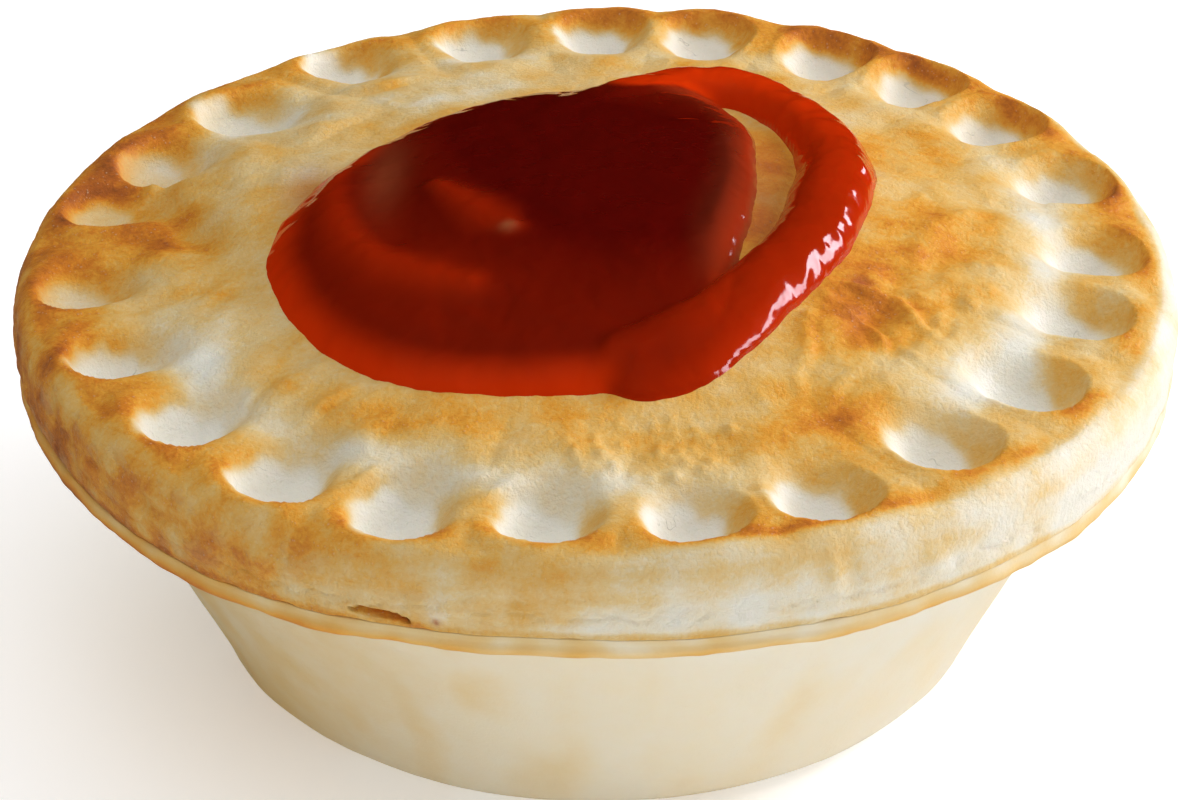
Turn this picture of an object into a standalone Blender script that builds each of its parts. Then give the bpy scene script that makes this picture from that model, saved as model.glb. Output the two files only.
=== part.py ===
"""A round meat pie with a tapered pastry case, a domed lid with a finger-pressed rim, and tomato sauce on top."""

import math

import bmesh
import bpy

MM = 0.001
GAP = 0.3 * MM

# Heights above the foot
CREST_HEIGHT = 41.0 * MM
BAND_HEIGHT = 8.1 * MM
LIP_THICKNESS = 2.1 * MM
DOME_RISE = 7.0 * MM
SHELF_RISE = 0.2 * MM

# Radii
RIM_RADIUS = 60.0 * MM
CREST_RADIUS = 58.5 * MM
SHELF_RADIUS = 54.0 * MM
DOME_RADIUS = 48.0 * MM
WALL_TOP_RADIUS = 55.0 * MM
WALL_SLOPE = 26.5
FOOT_ROUNDING = 4.0 * MM

# Finger presses: azimuth in degrees, distance from the middle in mm, depth in mm, length factor
PRESSES = (
    (187.0, 53.8, 2.0, 0.90),
    (204.0, 53.2, 2.9, 0.95),
    (220.0, 52.6, 2.8, 1.00),
    (235.0, 53.2, 2.9, 1.05),
    (249.5, 53.6, 2.8, 1.05),
    (265.0, 52.6, 2.8, 1.00),
    (280.0, 53.7, 2.7, 0.85),
    (294.0, 53.8, 2.8, 0.95),
    (311.0, 52.2, 2.9, 1.05),
    (328.0, 51.8, 3.1, 1.10),
    (346.0, 52.0, 3.1, 1.10),
    (1.0, 53.0, 2.8, 1.00),
    (18.0, 53.6, 2.6, 0.95),
    (34.5, 54.0, 2.6, 0.95),
    (48.0, 54.2, 2.4, 0.90),
    (61.0, 54.0, 2.4, 0.90),
    (76.5, 53.4, 2.4, 0.90),
    (89.5, 53.4, 2.4, 0.90),
    (104.0, 53.8, 2.4, 0.95),
    (121.0, 55.0, 3.1, 1.00),
    (140.0, 51.8, 2.4, 1.25),
    (155.0, 52.4, 2.1, 1.00),
    (167.0, 53.8, 1.7, 0.80),
)
PRESS_SIDE = 5.5 * MM
PRESS_INWARD = 8.6 * MM
PRESS_OUTWARD = 3.9 * MM
PRESS_LEAN = 1.1 * MM
PRESS_FLOOR = 0.30
PRESS_SPAN = math.radians(17.0)
STEEP_TURN = 0.8
RIDGE_RISE = 0.7 * MM
RIDGE_REACH = 1.25
RIDGE_WIDTH = 0.4

# Waves of the rim's height and of the lip under it: waves round the rim, size in mm, peak in degrees
RIM_WAVES = ((2, 0.28, 72.0), (3, 0.36, 62.0), (4, 0.18, 32.0), (5, 0.25, 358.0), (6, 0.18, 28.0))
LIP_WAVES = ((3, 0.14, 47.0), (5, 0.18, 338.0), (6, 0.14, 336.0), (7, 0.22, 357.0))
OUTLINE_WAVES = ((2, 0.20, 70.0), (3, 0.22, 88.0), (5, 0.12, 20.0))
WAVE_START = 44.0 * MM
WAVE_FULL = 55.0 * MM

# Creases in the lid: middle x and y in mm, direction in degrees, half length and half width in mm, depth in mm
CREASES = (
    (-44.0, 7.5, 118.0, 11.0, 2.4, 1.7),
    (-31.0, -27.0, 38.0, 4.5, 1.2, 0.5),
    (-22.0, -35.5, 20.0, 4.0, 1.2, 0.5),
    (27.5, -19.0, 62.0, 5.5, 1.3, 0.7),
    (31.5, -22.0, 50.0, 4.5, 1.2, 0.6),
    (30.0, -10.0, 75.0, 5.0, 1.4, 0.5),
)
SWELLS = (
    (-34.0, 13.0, 9.0, 1.1),
    (-20.0, 33.0, 12.0, 0.6),
    (24.0, -24.0, 8.0, 0.6),
    (32.0, 6.0, 12.0, 0.5),
    (-16.0, -37.0, 9.0, 0.4),
)

# Sauce
POOL_MIDDLE = (-5.0 * MM, -3.0 * MM)
POOL_REACHES = (20.7, 24.8, 32.0, 30.4, 26.6, 25.2, 27.8, 29.5, 31.3, 30.6, 29.5, 21.8)
POOL_THICKNESS = 2.6 * MM
POOL_EDGE_POWER = 6.0
LOOP_SINK = 0.9 * MM
LOOP_FLOOR = 0.25 * MM
LOOP_PATH = (
    (-4.0, 18.0, 2.4),
    (2.0, 25.5, 3.8),
    (7.5, 29.8, 4.4),
    (13.0, 30.8, 4.6),
    (17.6, 28.6, 4.3),
    (21.8, 23.0, 4.2),
    (24.4, 16.0, 4.3),
    (24.9, 8.5, 4.3),
    (23.6, 0.8, 4.2),
    (21.7, -6.4, 4.1),
    (18.8, -12.8, 4.1),
    (15.2, -18.8, 4.2),
    (11.6, -24.2, 4.4),
    (7.0, -28.4, 4.8),
    (1.5, -29.0, 4.0),
    (-4.0, -26.0, 2.4),
)

LID_STEPS = 180
CASE_STEPS = 96


def smooth_step(start, end, value):
    share = min(1.0, max(0.0, (value - start) / (end - start)))
    return share * share * (3.0 - 2.0 * share)


def waves(table, azimuth):
    """Height or radius added at this azimuth by a table of waves."""
    total = 0.0
    for count, size, peak in table:
        total += size * MM * math.cos(count * (azimuth - math.radians(peak)))
    return total


def press_depth(x, y):
    """Depth pressed into the rim, less the rise of the ridge round a press."""
    depth = 0.0
    radius = math.hypot(x, y)
    azimuth = math.atan2(y, x)
    lean = math.cos(azimuth)
    nearest = 9.0
    for angle, distance, press, length in PRESSES:
        turn = (azimuth - math.radians(angle) + math.pi) % (2 * math.pi) - math.pi
        if abs(turn) > PRESS_SPAN:
            continue
        along = radius - distance * MM
        across = turn * radius + PRESS_LEAN * lean
        along /= PRESS_OUTWARD if along > 0 else PRESS_INWARD * length
        across /= PRESS_SIDE + PRESS_LEAN * math.copysign(lean, across * lean)
        reach = math.hypot(along, across)
        nearest = min(nearest, reach)
        if reach < 1.0:
            outward = (along - STEEP_TURN * across * lean) / max(reach, 0.01)
            steep = smooth_step(-0.2, 0.7, outward)
            gentle_bowl = 1.0 - smooth_step(PRESS_FLOOR, 1.0, reach)
            steep_bowl = 1.0 - reach**3
            depth = max(depth, press * MM * (gentle_bowl + steep * (steep_bowl - gentle_bowl)))
    ridge = RIDGE_RISE * math.exp(-(((nearest - RIDGE_REACH) / RIDGE_WIDTH) ** 2))
    return depth - ridge


def crease_depth(x, y):
    depth = 0.0
    for middle_x, middle_y, angle, length, width, deep in CREASES:
        away_x = x / MM - middle_x
        away_y = y / MM - middle_y
        cosine = math.cos(math.radians(angle))
        sine = math.sin(math.radians(angle))
        along = (away_x * cosine + away_y * sine) / length
        across = (-away_x * sine + away_y * cosine) / width
        depth += deep * MM * math.exp(-along * along - across * across)
    return depth


def swell_rise(x, y):
    rise = 0.0
    for middle_x, middle_y, size, high in SWELLS:
        away = math.hypot(x / MM - middle_x, y / MM - middle_y) / size
        rise += high * MM * math.exp(-away * away)
    return rise


def dome_height(radius):
    """Height of the plain turned lid at this radius."""
    if radius > SHELF_RADIUS:
        share = (radius - SHELF_RADIUS) / (CREST_RADIUS - SHELF_RADIUS)
        return CREST_HEIGHT + SHELF_RISE * (1.0 - share**2)
    if radius > DOME_RADIUS:
        return CREST_HEIGHT + SHELF_RISE
    share = radius / DOME_RADIUS
    return CREST_HEIGHT + SHELF_RISE + DOME_RISE * (1.0 - share**2) ** 1.15


def relief(x, y):
    """What presses, creases, swells and rim waves add to the plain lid."""
    radius = math.hypot(x, y)
    azimuth = math.atan2(y, x)
    rim = smooth_step(WAVE_START, WAVE_FULL, radius)
    outer = smooth_step(RIM_RADIUS + MM, CREST_RADIUS - MM, radius)
    pressed = press_depth(x, y) * outer
    creased = crease_depth(x, y) * outer
    return rim * waves(RIM_WAVES, azimuth) - pressed - creased + swell_rise(x, y)


def lid_height(x, y):
    return dome_height(math.hypot(x, y)) + relief(x, y)


def clear_scene():
    for item in list(bpy.data.objects):
        bpy.data.objects.remove(item, do_unlink=True)


def new_collection(name, parent):
    collection = bpy.data.collections.new(name)
    parent.children.link(collection)
    return collection


def new_material(name, colour, roughness):
    material = bpy.data.materials.new(name)
    material.use_nodes = True
    shader = material.node_tree.nodes["Principled BSDF"]
    shader.inputs["Base Color"].default_value = (*colour, 1.0)
    shader.inputs["Roughness"].default_value = roughness
    return material


def evaluated_mesh(item, name):
    graph = bpy.context.evaluated_depsgraph_get()
    mesh = bpy.data.meshes.new_from_object(item.evaluated_get(graph))
    mesh.name = name
    return mesh


def add_object(name, mesh, material, collection):
    item = bpy.data.objects.new(name, mesh)
    mesh.materials.clear()
    mesh.materials.append(material)
    for face in mesh.polygons:
        face.use_smooth = True
    collection.objects.link(item)
    return item


def turned_mesh(name, profile, steps, collection):
    """Turns a profile of (radius, height) points, outer side top to bottom, about the Z axis."""
    outline = bpy.data.meshes.new(name + "_profile")
    points = [(radius, 0.0, height) for radius, height in profile]
    edges = [(index, index + 1) for index in range(len(points) - 1)]
    outline.from_pydata(points, edges, [])
    guide = bpy.data.objects.new(name + "_profile", outline)
    collection.objects.link(guide)
    turn = guide.modifiers.new("turn", "SCREW")
    turn.axis = "Z"
    turn.angle = 2 * math.pi
    turn.steps = steps
    turn.render_steps = steps
    turn.use_merge_vertices = True
    turn.merge_threshold = 0.00001
    mesh = evaluated_mesh(guide, name)
    bpy.data.objects.remove(guide, do_unlink=True)
    return mesh


def widen(point):
    """Moves a rim point in or out with the uneven outline."""
    radius = math.hypot(point.x, point.y)
    if radius < WAVE_START:
        return
    azimuth = math.atan2(point.y, point.x)
    rim = smooth_step(WAVE_START, WAVE_FULL, radius)
    factor = 1.0 + rim * waves(OUTLINE_WAVES, azimuth) / radius
    point.x *= factor
    point.y *= factor


def lip_wave(x, y):
    rim = smooth_step(WAVE_START, WAVE_FULL, math.hypot(x, y))
    return rim * waves(LIP_WAVES, math.atan2(y, x))


def lid_profile():
    radii = [0.0, 9.0, 18.0, 26.0, 33.0, 38.5, 42.0]
    radii += [44.4, 46.4, 48.0, 49.4, 50.8, 52.2, 53.6, 55.0, 56.2, 57.4, 58.5]
    points = [(radius * MM, dome_height(radius * MM)) for radius in radii]
    for radius, drop in ((59.4, 0.7), (59.9, 2.2), (60.0, 4.4), (59.8, 6.6)):
        points.append((radius * MM, CREST_HEIGHT - drop * MM))
    bottom = CREST_HEIGHT - BAND_HEIGHT
    points.append((59.1 * MM, bottom))
    points.append((0.0, bottom))
    return points


def build_lid(collection, helpers, material):
    """The lid: the dome and the thick rim band, with its relief pressed into the top."""
    mesh = turned_mesh("pastry_lid", lid_profile(), LID_STEPS, helpers)
    bottom = CREST_HEIGHT - BAND_HEIGHT
    for vertex in mesh.vertices:
        point = vertex.co
        upper = smooth_step(bottom, CREST_HEIGHT - 0.3 * MM, point.z)
        shift = upper * relief(point.x, point.y) + (1.0 - upper) * lip_wave(point.x, point.y)
        if point.z < bottom + 0.1 * MM and math.hypot(point.x, point.y) < MM:
            shift = 0.0
        point.z += shift
        widen(point)
    return add_object("pastry_lid", mesh, material, collection)


def wall_radius(height):
    """Radius of the straight tapered wall at this height."""
    top = CREST_HEIGHT - BAND_HEIGHT - GAP - LIP_THICKNESS
    return WALL_TOP_RADIUS - (top - height) * math.tan(math.radians(WALL_SLOPE))


def case_profile():
    top = CREST_HEIGHT - BAND_HEIGHT - GAP
    points = [(0.0, top), (50.0 * MM, top), (55.0 * MM, top), (58.8 * MM, top)]
    lip_middle = top - 0.5 * LIP_THICKNESS
    for angle in (55.0, 20.0, -20.0, -60.0, -90.0):
        turn = math.radians(angle)
        radius = 58.8 * MM + 1.05 * MM * math.cos(turn)
        points.append((radius, lip_middle + 0.5 * LIP_THICKNESS * math.sin(turn)))
    under = top - LIP_THICKNESS
    slope = math.radians(WALL_SLOPE)
    points.append((WALL_TOP_RADIUS + 1.2 * MM, under - 0.1 * MM))
    points.append((WALL_TOP_RADIUS, under - 1.2 * MM))
    tangent = FOOT_ROUNDING * (1.0 - math.sin(slope))
    for height in (under - 6.0 * MM, 0.5 * (under + tangent), tangent):
        hollow = 0.5 * MM * math.sin(math.pi * height / under)
        points.append((wall_radius(height) - hollow, height))
    foot_radius = wall_radius(tangent) - FOOT_ROUNDING * math.cos(slope)
    for angle in (45.0, 65.0, 90.0):
        turn = math.radians(angle)
        radius = foot_radius + FOOT_ROUNDING * math.cos(turn)
        points.append((radius, FOOT_ROUNDING * (1.0 - math.sin(turn))))
    points.append((0.0, 0.0))
    return points


def build_case(collection, helpers, material):
    """The case: the tapered body with a rounded foot and the thin lip that carries the lid."""
    mesh = turned_mesh("pastry_case", case_profile(), CASE_STEPS, helpers)
    for vertex in mesh.vertices:
        point = vertex.co
        point.z += lip_wave(point.x, point.y)
        widen(point)
    return add_object("pastry_case", mesh, material, collection)


def pool_reach(azimuth):
    """Distance from the pool's middle to its edge, smoothed between the measured directions."""
    count = len(POOL_REACHES)
    place = (azimuth / (2 * math.pi) * count) % count
    first = int(place)
    share = place - first
    before, here, after, beyond = (POOL_REACHES[(first + step) % count] for step in (-1, 0, 1, 2))
    bend = before - 2.5 * here + 2.0 * after - 0.5 * beyond
    twist = -0.5 * before + 1.5 * here - 1.5 * after + 0.5 * beyond
    slope = 0.5 * (after - before)
    return MM * (here + share * (slope + share * (bend + share * twist)))


def build_pool(helpers):
    """The flat pool: a ball pressed flat on the lid, its lower half laid on the crust."""
    mesh = bpy.data.meshes.new("sauce_pool")
    shape = bmesh.new()
    bmesh.ops.create_uvsphere(shape, u_segments=56, v_segments=14, radius=1.0)
    for vertex in shape.verts:
        spread = min(1.0, math.hypot(vertex.co.x, vertex.co.y))
        azimuth = math.atan2(vertex.co.y, vertex.co.x)
        reach = spread * pool_reach(azimuth)
        x = POOL_MIDDLE[0] + reach * math.cos(azimuth)
        y = POOL_MIDDLE[1] + reach * math.sin(azimuth)
        height = lid_height(x, y) + GAP
        if vertex.co.z > 0.01:
            height += POOL_THICKNESS * math.sqrt(1.0 - spread**POOL_EDGE_POWER)
        vertex.co = (x, y, height)
    shape.to_mesh(mesh)
    shape.free()
    item = bpy.data.objects.new("sauce_pool", mesh)
    helpers.objects.link(item)
    return item


def build_loop(helpers):
    """The poured loop that runs from the back of the pool to its front."""
    curve = bpy.data.curves.new("sauce_loop", "CURVE")
    curve.dimensions = "3D"
    curve.resolution_u = 4
    curve.bevel_depth = MM
    curve.bevel_resolution = 4
    curve.use_fill_caps = True
    spline = curve.splines.new("BEZIER")
    spline.bezier_points.add(len(LOOP_PATH) - 1)
    for point, (x, y, thick) in zip(spline.bezier_points, LOOP_PATH):
        height = lid_height(x * MM, y * MM) + GAP
        point.co = (x * MM, y * MM, height - LOOP_SINK)
        point.radius = thick
        point.handle_left_type = "AUTO"
        point.handle_right_type = "AUTO"
    guide = bpy.data.objects.new("sauce_loop_path", curve)
    helpers.objects.link(guide)
    mesh = evaluated_mesh(guide, "sauce_loop")
    bpy.data.objects.remove(guide, do_unlink=True)
    shape = bmesh.new()
    shape.from_mesh(mesh)
    bmesh.ops.remove_doubles(shape, verts=shape.verts, dist=0.00001)
    for vertex in shape.verts:
        floor = lid_height(vertex.co.x, vertex.co.y) + GAP + LOOP_FLOOR
        vertex.co.z = max(vertex.co.z, floor)
    bmesh.ops.recalc_face_normals(shape, faces=shape.faces)
    shape.to_mesh(mesh)
    shape.free()
    item = bpy.data.objects.new("sauce_loop", mesh)
    helpers.objects.link(item)
    return item


def build_sauce(collection, helpers, material):
    """The sauce: the pool and the loop poured as one body, with a gap left between them."""
    pool = build_pool(helpers)
    loop = build_loop(helpers)
    join = pool.modifiers.new("join", "BOOLEAN")
    join.operation = "UNION"
    join.solver = "MANIFOLD"
    join.object = loop
    mesh = evaluated_mesh(pool, "tomato_sauce")
    bpy.data.objects.remove(pool, do_unlink=True)
    bpy.data.objects.remove(loop, do_unlink=True)
    return add_object("tomato_sauce", mesh, material, collection)


def centre(parts):
    """Brings the middle of the whole outline to the Z axis and the foot to zero."""
    xs = [vertex.co.x for part in parts for vertex in part.data.vertices]
    ys = [vertex.co.y for part in parts for vertex in part.data.vertices]
    shift_x = -0.5 * (min(xs) + max(xs))
    shift_y = -0.5 * (min(ys) + max(ys))
    for part in parts:
        for vertex in part.data.vertices:
            vertex.co.x += shift_x
            vertex.co.y += shift_y


clear_scene()
pie = new_collection("meat_pie", bpy.context.scene.collection)
cutters = new_collection("cutters", bpy.context.scene.collection)
pale_crust = new_material("pale_crust", (0.80, 0.62, 0.38), 0.75)
golden_crust = new_material("golden_crust", (0.72, 0.42, 0.14), 0.65)
sauce_red = new_material("sauce_red", (0.36, 0.02, 0.01), 0.2)
case = build_case(pie, cutters, pale_crust)
lid = build_lid(pie, cutters, golden_crust)
sauce = build_sauce(pie, cutters, sauce_red)
centre((case, lid, sauce))
cutters.hide_render = True
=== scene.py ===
import math
import random

import bmesh
import bpy
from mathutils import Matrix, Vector, noise


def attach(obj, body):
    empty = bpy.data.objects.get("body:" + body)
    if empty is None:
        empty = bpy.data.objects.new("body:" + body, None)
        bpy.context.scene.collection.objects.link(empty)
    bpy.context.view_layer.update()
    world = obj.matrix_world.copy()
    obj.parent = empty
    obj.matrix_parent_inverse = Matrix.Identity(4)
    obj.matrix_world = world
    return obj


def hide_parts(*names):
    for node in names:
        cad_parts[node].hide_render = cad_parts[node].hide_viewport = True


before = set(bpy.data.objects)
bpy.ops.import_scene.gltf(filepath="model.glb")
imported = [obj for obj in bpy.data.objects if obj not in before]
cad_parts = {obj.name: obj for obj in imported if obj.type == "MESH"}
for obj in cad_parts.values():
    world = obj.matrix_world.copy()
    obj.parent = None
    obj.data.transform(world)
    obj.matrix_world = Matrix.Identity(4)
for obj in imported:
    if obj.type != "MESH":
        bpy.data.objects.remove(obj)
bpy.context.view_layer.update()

scene = bpy.context.scene

# Camera, light and floor
# The pie stands on a plain white table in soft window light that comes from the right and behind.
# The camera looks down at it with a long lens from less than half a metre away.
MM = 0.001
CREST_HEIGHT = 41.0 * MM
VIEW_ELEVATION = math.radians(28.43)
VIEW_DISTANCE = 450.0 * MM
VIEW_BELOW_CREST = 14.6 * MM
VIEW_TO_RIGHT = 0.3 * MM
LENS_LENGTH = 130.7


def add_camera():
    back = Vector((0.0, -math.cos(VIEW_ELEVATION), math.sin(VIEW_ELEVATION)))
    up = Vector((0.0, math.sin(VIEW_ELEVATION), math.cos(VIEW_ELEVATION)))
    crest = Vector((0.0, 0.0, CREST_HEIGHT))
    place = crest + back * VIEW_DISTANCE
    target = crest - up * VIEW_BELOW_CREST + Vector((VIEW_TO_RIGHT, 0.0, 0.0))
    lens = bpy.data.cameras.new("view")
    lens.lens = LENS_LENGTH
    lens.sensor_width = 36.0
    lens.clip_start = 0.01
    camera = bpy.data.objects.new("view", lens)
    camera.location = place
    camera.rotation_euler = (target - place).to_track_quat("-Z", "Y").to_euler()
    scene.collection.objects.link(camera)
    scene.camera = camera


def add_panel(name, place, aim, size, power, colour, mirrored):
    """A soft panel light; one that isn't mirrored leaves no reflection in the wet sauce."""
    panel = bpy.data.lights.new(name, "AREA")
    panel.shape = "RECTANGLE"
    panel.size = size[0]
    panel.size_y = size[1]
    panel.energy = power
    panel.color = colour
    light = bpy.data.objects.new(name, panel)
    light.location = place
    light.rotation_euler = (Vector(aim) - Vector(place)).to_track_quat("-Z", "Y").to_euler()
    light.visible_glossy = mirrored
    scene.collection.objects.link(light)


def new_material(name):
    """A material with its nodes, its links and its main shader."""
    material = bpy.data.materials.new(name)
    material.use_nodes = True
    nodes = material.node_tree.nodes
    return material, nodes, material.node_tree.links, nodes["Principled BSDF"]


def add_floor():
    shape = bmesh.new()
    bmesh.ops.create_grid(shape, x_segments=1, y_segments=1, size=3.0)
    mesh = bpy.data.meshes.new("floor")
    shape.to_mesh(mesh)
    shape.free()
    floor = bpy.data.objects.new("floor", mesh)
    floor.location = (0.0, 0.0, -0.2 * MM)
    scene.collection.objects.link(floor)
    material, _, _, shader = new_material("white_table")
    shader.inputs["Base Color"].default_value = (0.93, 0.93, 0.93, 1.0)
    shader.inputs["Roughness"].default_value = 0.9
    shader.inputs["Specular IOR Level"].default_value = 0.1
    shader.inputs["Emission Color"].default_value = (1.0, 1.0, 1.0, 1.0)
    shader.inputs["Emission Strength"].default_value = 0.29
    mesh.materials.append(material)
    floor.visible_glossy = False


add_camera()
add_floor()
add_panel("window", (0.62, 0.22, 0.34), (0.0, 0.0, 0.03), (0.24, 0.24), 2.8, (1.0, 0.985, 0.97), False)
add_panel("window_strip", (0.66, 0.18, 0.18), (0.0, 0.0, 0.045), (0.66, 0.12), 2.4, (0.94, 0.90, 1.0), True)
add_panel("ceiling", (-0.10, 0.05, 0.95), (0.0, 0.0, 0.02), (1.1, 1.0), 5.4, (0.98, 0.99, 1.0), False)
add_panel("room_front", (0.62, -0.85, 0.30), (0.0, 0.0, 0.02), (0.9, 0.5), 2.5, (1.0, 0.99, 0.97), False)
world = bpy.data.worlds.new("room")
scene.world = world
world.use_nodes = True
world.node_tree.nodes["Background"].inputs["Color"].default_value = (0.93, 0.96, 1.0, 1.0)
world.node_tree.nodes["Background"].inputs["Strength"].default_value = 0.25
world.cycles_visibility.glossy = False
scene.view_settings.view_transform = "Standard"
scene.view_settings.look = "None"

# Pastry case
# Shortcrust rolled out and pressed into a tapered round tin, so that its wall is smooth and pale.
# Its top is folded out into a thin lip that carries the lid and bakes to it in a crimped seam.
BAND_HEIGHT = 8.1 * MM
LIP_THICKNESS = 2.1 * MM
LIP_UNDERSIDE = CREST_HEIGHT - BAND_HEIGHT - 0.3 * MM - LIP_THICKNESS
WALL_TOP_RADIUS = 55.0 * MM
WALL_SLOPE = math.radians(26.5)
FOOT_ROUNDING = 4.0 * MM
LIP_RADIUS = 58.8 * MM
SEAM_RADIUS = 59.8
SEAM_GAP = 0.02 * MM
LIP_WAVES = ((3, 0.14, 47.0), (5, 0.18, 338.0), (6, 0.14, 336.0), (7, 0.22, 357.0))
OUTLINE_WAVES = ((2, 0.20, 70.0), (3, 0.22, 88.0), (5, 0.12, 20.0))
WAVE_START = 44.0 * MM
WAVE_FULL = 55.0 * MM
TURN_STEPS = 900

# Crust colours from unbaked to burnt, with how brown each one is; the painted light and shade on the crust
# use them too
BROWNING_AND_SHADING_COLOURS = (
    (0.00, (0.79, 0.755, 0.64)),
    (0.10, (0.80, 0.70, 0.50)),
    (0.22, (0.77, 0.565, 0.26)),
    (0.38, (0.76, 0.44, 0.105)),
    (0.50, (0.76, 0.34, 0.035)),
    (0.64, (0.64, 0.21, 0.016)),
    (0.80, (0.42, 0.115, 0.016)),
    (1.00, (0.20, 0.06, 0.015)),
)
FLAKE_COLOUR = (0.62, 0.33, 0.12)
FLECK_COLOUR = (0.85, 0.72, 0.50)
FLOUR_COLOUR = (0.89, 0.87, 0.79)
HAIR_CRACK_COLOUR = (0.56, 0.53, 0.44)
# Colour of sauce soaked into the crust, also used for painted shade in the gap inside the sauce loop
STAIN_AND_SHADE_COLOUR = (0.42, 0.11, 0.035)

# Noise scales of the crust's grain, per metre, and how high the grain stands
MOTTLE_SCALE = 230.0
SPECKLE_SCALE = 1700.0
FLAKE_SCALE = 300.0
HAIR_CRACK_SCALE = 300.0
CASE_GRAIN_HEIGHT = 0.07 * MM

# How far the seam under the lid has baked shut, and how brown the lip is, every 30 degrees from the right
SEAM_SHUT = (1.0, 0.7, 0.5, 0.5, 0.5, 0.25, -0.1, 0.2, 1.0, 1.25, 1.2, 1.15)
LIP_BROWNING = (0.12, 0.20, 0.35, 0.35, 0.35, 0.45, 0.60, 0.56, 0.42, 0.22, 0.28, 0.18)


def smooth_step(start, end, value):
    share = min(1.0, max(0.0, (value - start) / (end - start)))
    return share * share * (3.0 - 2.0 * share)


def bell(value, middle, width):
    return math.exp(-(((value - middle) / width) ** 2))


def waves(table, azimuth):
    """Height or radius added at this azimuth by a table of waves."""
    total = 0.0
    for count, size, peak in table:
        total += size * MM * math.cos(count * (azimuth - math.radians(peak)))
    return total


def curve_between(before, start, end, after, share):
    """Value at this share of the way from start to end, on a smooth curve through all four."""
    bend = before - 2.5 * start + 2.0 * end - 0.5 * after
    twist = -0.5 * before + 1.5 * start - 1.5 * end + 0.5 * after
    return start + share * (0.5 * (end - before) + share * (bend + share * twist))


def around(values, azimuth):
    """Smooth value at this azimuth from values evenly spaced round the pie."""
    count = len(values)
    place = (azimuth / (2 * math.pi) * count) % count
    first = int(place)
    return curve_between(*(values[(first + step) % count] for step in (-1, 0, 1, 2)), place - first)


def stretched(spot, flat, tall):
    """The spot scaled sideways and upright, for noise that lies flat or hangs down."""
    return Vector((spot.x * flat, spot.y * flat, spot.z * tall))


def ripple(point, size, seed):
    """Smooth noise between about -1 and 1 with bumps of this size, different for each seed."""
    return noise.noise(Vector(point) / size + Vector((seed, 1.7 * seed, 2.3 * seed)))


def on_rim(azimuth):
    """The place on the outline at this azimuth."""
    return (60.0 * MM * math.cos(azimuth), 60.0 * MM * math.sin(azimuth), 0.0)


def seam_skin(azimuth):
    """Unevenness in mm of the lip and the band where they meet."""
    spot = on_rim(azimuth)
    return 0.25 * ripple(spot, 7.0 * MM, 9.0) + 0.07 * ripple(spot, 2.2 * MM, 8.0)


def seam_shut(azimuth):
    """How far the seam is shut here, from 0 open to 1 baked together."""
    return min(1.0, max(0.0, around(SEAM_SHUT, azimuth) + 0.8 * ripple(on_rim(azimuth), 4.0 * MM, 16.0)))


def turned(profile, steps):
    """A closed bmesh turned about the Z axis from (radius, height) points."""
    shape = bmesh.new()
    line = [shape.verts.new((radius, 0.0, height)) for radius, height in profile]
    edges = [shape.edges.new(pair) for pair in zip(line, line[1:])]
    bmesh.ops.spin(
        shape,
        geom=line + edges,
        cent=(0.0, 0.0, 0.0),
        axis=(0.0, 0.0, 1.0),
        angle=2 * math.pi,
        steps=steps,
        use_merge=True,
    )
    bmesh.ops.remove_doubles(shape, verts=shape.verts, dist=0.000002)
    bmesh.ops.recalc_face_normals(shape, faces=shape.faces)
    return shape


def widen(point):
    """Moves a rim point in or out with the uneven outline."""
    radius = math.hypot(point.x, point.y)
    if radius < WAVE_START:
        return
    azimuth = math.atan2(point.y, point.x)
    rim = smooth_step(WAVE_START, WAVE_FULL, radius)
    factor = 1.0 + rim * waves(OUTLINE_WAVES, azimuth) / radius
    point.x *= factor
    point.y *= factor


def push_out(point, distance):
    """Moves a point straight away from the Z axis."""
    radius = math.hypot(point.x, point.y)
    if radius > MM:
        point.x *= 1.0 + distance / radius
        point.y *= 1.0 + distance / radius


def lip_wave(x, y):
    """How far the lip and the seam rise or dip here."""
    azimuth = math.atan2(y, x)
    rim = smooth_step(WAVE_START, WAVE_FULL, math.hypot(x, y))
    spot = on_rim(azimuth)
    crinkle = 0.26 * ripple(spot, 11.0 * MM, 14.0) + 0.08 * ripple(spot, 3.2 * MM, 15.0)
    return rim * (waves(LIP_WAVES, azimuth) + crinkle * MM)


def finish_piece(name, shape, material, node):
    """Makes the object from its bmesh, shades it smooth and stands it for a node of the frame."""
    mesh = bpy.data.meshes.new(name)
    shape.to_mesh(mesh)
    shape.free()
    mesh.materials.append(material)
    mesh.shade_smooth()
    piece = bpy.data.objects.new(name, mesh)
    scene.collection.objects.link(piece)
    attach(piece, "root")
    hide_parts(node)


def add_maths(nodes, links, operation, first, second=None, third=None):
    """Adds a maths node and gives back its output; each value is a number or a socket."""
    node = nodes.new("ShaderNodeMath")
    node.operation = operation
    for socket, value in zip(node.inputs, (first, second, third)):
        if isinstance(value, (int, float)):
            socket.default_value = value
        elif value is not None:
            links.new(value, socket)
    return node.outputs[0]


def add_noise(nodes, links, place, scale, detail, rough):
    node = nodes.new("ShaderNodeTexNoise")
    node.inputs["Detail"].default_value = detail
    node.inputs["Roughness"].default_value = rough
    links.new(place, node.inputs["Vector"])
    if isinstance(scale, float):
        node.inputs["Scale"].default_value = scale
    else:
        links.new(scale, node.inputs["Scale"])
    return node.outputs["Fac"]


def add_range(nodes, links, value, low, high):
    """Adds a map from low to high onto 0 to 1 and gives back its output."""
    node = nodes.new("ShaderNodeMapRange")
    node.inputs["From Min"].default_value = low
    node.inputs["From Max"].default_value = high
    links.new(value, node.inputs["Value"])
    return node.outputs["Result"]


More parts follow.
